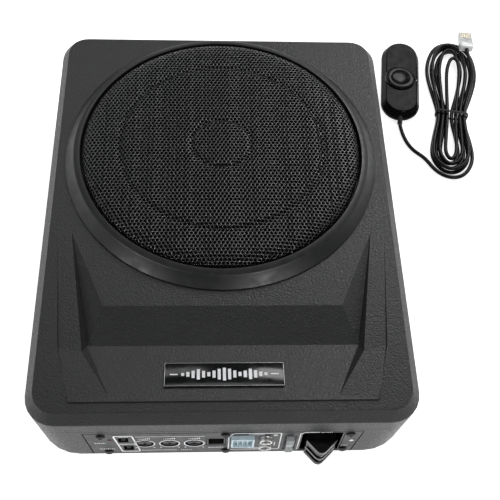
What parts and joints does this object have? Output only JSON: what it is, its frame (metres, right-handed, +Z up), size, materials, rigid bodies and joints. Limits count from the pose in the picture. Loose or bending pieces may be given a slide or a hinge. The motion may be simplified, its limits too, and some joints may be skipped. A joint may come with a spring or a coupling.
{
  "type": "powered car subwoofer",
  "caption": "Flat moulded under-seat bass enclosure with a round domed grille, built-in amplifier, front control panel and a wired remote level dial.",
  "frame": {"origin": "centre of the underside, on the lower face of the middle hook-and-loop strip, where the box meets the carpet", "axes": "+Z up out of the grille, +Y towards the rear, so the control panel faces -Y; +X to the right seen from the control panel side"},
  "size_m": [0.3592, 0.3965, 0.0813],
  "materials": {
    "aluminium": "plain extruded aluminium",
    "bezel_plastic": "satin black moulded plastic",
    "black_steel": "black paint on pressed steel",
    "board_laminate": "green solder mask on glass laminate",
    "capacitor_sleeve": "dark blue shrink sleeve",
    "clear_nylon": "translucent milky nylon",
    "cone_paper": "black coated paper pulp",
    "control_plastic": "fine-textured black nylon",
    "copper_winding": "enamelled copper wire",
    "cord_jacket": "black PVC jacket",
    "ferrite": "bare ferrite, sealed matt black",
    "gloss_black": "gloss black with a thin silver edge",
    "grained_plastic": "fine leather-grain moulded black ABS",
    "grille_paint": "satin black powder coat on perforated steel",
    "hook_strip": "black hook-and-loop strip",
    "lens_red": "red tinted lens",
    "nickel": "bright nickel plate",
    "panel_plastic": "smooth black control panel",
    "remote_plastic": "satin black plastic",
    "screw_black": "black oxide steel",
    "soft_rubber": "matt black rubber",
    "spider_cloth": "yellow resin-dipped cotton",
    "zinc_steel": "zinc-plated steel"
  },
  "bodies": {
    "root": {"back_plate_and_pole": "zinc_steel", "badge_plate": "gloss_black", "boost_pot": "control_plastic", "circuit_board": "board_laminate", "control_panel": "panel_plastic", "cord_hank": "cord_jacket", "crossover_pot": "control_plastic", "driver_basket": "black_steel", "front_pole_plate": "zinc_steel", "fuse_holder": "control_plastic", "gain_pot": "control_plastic", "gasket": "soft_rubber", "grille_mesh": "grille_paint", "grille_ring": "bezel_plastic", "grip_strip_front": "hook_strip", "grip_strip_middle": "hook_strip", "grip_strip_rear": "hook_strip", "hank_tie": "soft_rubber", "heat_sink": "aluminium", "high_level_socket": "clear_nylon", "input_switch_case": "zinc_steel", "lower_housing": "grained_plastic", "magnet": "ferrite", "modular_plug": "clear_nylon", "panel_screw_1": "screw_black", "panel_screw_2": "screw_black", "panel_screw_3": "screw_black", "panel_screw_4": "screw_black", "panel_screw_5": "screw_black", "panel_screw_6": "screw_black", "phase_switch_case": "zinc_steel", "power_led": "lens_red", "power_socket": "control_plastic", "rca_jack_left": "nickel", "rca_jack_right": "nickel", "remote_base": "remote_plastic", "remote_cord": "cord_jacket", "remote_cord_relief": "soft_rubber", "remote_cover": "remote_plastic", "remote_jack": "control_plastic", "remote_pot": "zinc_steel", "reservoir_capacitor_1": "capacitor_sleeve", "reservoir_capacitor_2": "capacitor_sleeve", "spider": "spider_cloth", "surround": "soft_rubber", "top_housing": "grained_plastic", "toroid_coil": "copper_winding"},
    "woofer": {"cone": "cone_paper", "voice_coil": "copper_winding", "dust_cap": "cone_paper"},
    "gain_control": {"gain_knob": "control_plastic"},
    "crossover_control": {"crossover_knob": "control_plastic"},
    "boost_control": {"boost_knob": "control_plastic"},
    "phase_lever": {"phase_switch_lever": "control_plastic"},
    "input_lever": {"input_switch_lever": "control_plastic"},
    "fuse": {"blade_fuse": "clear_nylon"},
    "plug": {"power_plug": "control_plastic"},
    "remote_dial": {"remote_knob": "remote_plastic"}
  },
  "joints": [
    {"name": "cone_travel", "type": "slide", "parent": "root", "child": "woofer", "axis": [0, 0, 1], "range_m": [-0.0035, 0.0035], "stiffness_N_per_m": 4000, "deforming": ["surround", "spider"]},
    {"name": "gain_turn", "type": "hinge", "parent": "root", "child": "gain_control", "pos_m": [-0.0516, -0.16275, 0.0235], "axis": [0, 1, 0], "range_deg": [-140, 140]},
    {"name": "crossover_turn", "type": "hinge", "parent": "root", "child": "crossover_control", "pos_m": [-0.0354, -0.16275, 0.0235], "axis": [0, 1, 0], "range_deg": [-140, 140]},
    {"name": "boost_turn", "type": "hinge", "parent": "root", "child": "boost_control", "pos_m": [-0.0193, -0.16275, 0.0235], "axis": [0, 1, 0], "range_deg": [-140, 140]},
    {"name": "phase_slide", "type": "slide", "parent": "root", "child": "phase_lever", "axis": [0, 0, 1], "range_m": [-0.0018, 0.0018]},
    {"name": "input_slide", "type": "slide", "parent": "root", "child": "input_lever", "axis": [0, 0, 1], "range_m": [-0.0018, 0.0018]},
    {"name": "fuse_pull", "type": "slide", "parent": "root", "child": "fuse", "axis": [0, -1, 0], "range_m": [0, 0.025]},
    {"name": "plug_pull", "type": "slide", "parent": "root", "child": "plug", "axis": [0, -1, 0], "range_m": [0, 0.03]},
    {"name": "remote_turn", "type": "hinge", "parent": "root", "child": "remote_dial", "pos_m": [0.15953, 0.16899, 0.011], "axis": [0, 0, -1], "range_deg": [-140, 140]}
  ]
}
